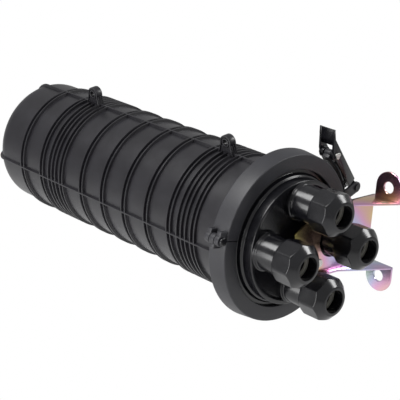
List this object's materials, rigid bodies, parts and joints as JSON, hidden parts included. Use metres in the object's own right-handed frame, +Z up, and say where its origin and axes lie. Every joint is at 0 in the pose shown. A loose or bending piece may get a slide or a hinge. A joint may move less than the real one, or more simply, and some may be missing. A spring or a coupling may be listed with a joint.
{
  "type": "dome splice closure",
  "caption": "Ribbed black dome closure for fibre splices with a hinged clamping hoop, over-centre latch, cable glands in its base and a yellow-passivated wall bracket.",
  "frame": {"origin": "midpoint between the two ear holes of the bracket, in the wall plane", "axes": "+X along the closure's axis towards the cable ports, +Y into the wall, +Z up"},
  "size_m": [0.5221, 0.2133, 0.2068],
  "materials": {
    "dome_plastic": "semi-gloss moulded black plastic",
    "black_plastic": "glossy moulded black plastic",
    "hoop_plastic": "fine-textured matt black plastic",
    "dark_pin": "dark moulded pin",
    "zinc_steel": "bright zinc-plated steel",
    "passivated_steel": "yellow-passivated zinc on sheet steel",
    "frame_sheet": "plain stainless sheet",
    "seal_rubber": "soft black rubber",
    "washer_plastic": "off-white slip washer",
    "tray_plastic": "off-white moulded plastic",
    "lid_plastic": "clear-grey moulded lid",
    "strap_fabric": "woven black strap"
  },
  "bodies": {
    "closure": {"dome": "dome_plastic", "base": "black_plastic", "seal_ring": "seal_rubber", "hoop_lower": "hoop_plastic", "hoop_upper": "hoop_plastic", "hinge_pin": "dark_pin", "latch_pivot_pins": "dark_pin", "gland_washer_1": "washer_plastic", "gland_washer_2": "washer_plastic", "gland_washer_3": "washer_plastic", "gland_washer_4": "washer_plastic", "gland_seal_1": "seal_rubber", "gland_seal_2": "seal_rubber", "gland_seal_3": "seal_rubber", "gland_seal_4": "seal_rubber", "bracket": "passivated_steel", "bracket_bolts": "zinc_steel", "tray_frame": "frame_sheet", "frame_bolts": "zinc_steel", "splice_tray_1": "tray_plastic", "splice_tray_2": "tray_plastic", "splice_tray_3": "tray_plastic", "tray_lid": "lid_plastic", "tray_hinge_pins": "zinc_steel", "tray_strap": "strap_fabric", "cable_clamps": "zinc_steel"},
    "lever": {"latch_lever": "hoop_plastic", "link_pin": "zinc_steel"},
    "link": {"latch_link": "hoop_plastic"},
    "nut_1": {"gland_nut_1": "black_plastic"},
    "nut_2": {"gland_nut_2": "black_plastic"},
    "nut_3": {"gland_nut_3": "black_plastic"},
    "nut_4": {"gland_nut_4": "black_plastic"}
  },
  "joints": [
    {"name": "latch_lever_swing", "type": "hinge", "parent": "closure", "child": "lever", "pos_m": [-0.0525, -0.00665, 0.0405], "axis": [1, 0, 0], "range_deg": [-80, 0]},
    {"name": "latch_link_swing", "type": "hinge", "parent": "lever", "child": "link", "pos_m": [-0.0525, -0.0443, 0.08229], "axis": [1, 0, 0], "range_deg": [0, 106]},
    {"name": "gland_nut_1_turn", "type": "hinge", "parent": "closure", "child": "nut_1", "pos_m": [0.0135, -0.11, 0.0463], "axis": [1, 0, 0], "continuous": true},
    {"name": "gland_nut_2_turn", "type": "hinge", "parent": "closure", "child": "nut_2", "pos_m": [0.0135, -0.1563, 0], "axis": [1, 0, 0], "continuous": true},
    {"name": "gland_nut_3_turn", "type": "hinge", "parent": "closure", "child": "nut_3", "pos_m": [0.0135, -0.11, -0.0463], "axis": [1, 0, 0], "continuous": true},
    {"name": "gland_nut_4_turn", "type": "hinge", "parent": "closure", "child": "nut_4", "pos_m": [0.0135, -0.0637, 0], "axis": [1, 0, 0], "continuous": true}
  ],
  "couplings": [
    {"joint": "latch_link_swing", "follows": "latch_lever_swing", "ratio": -1.3}
  ]
}
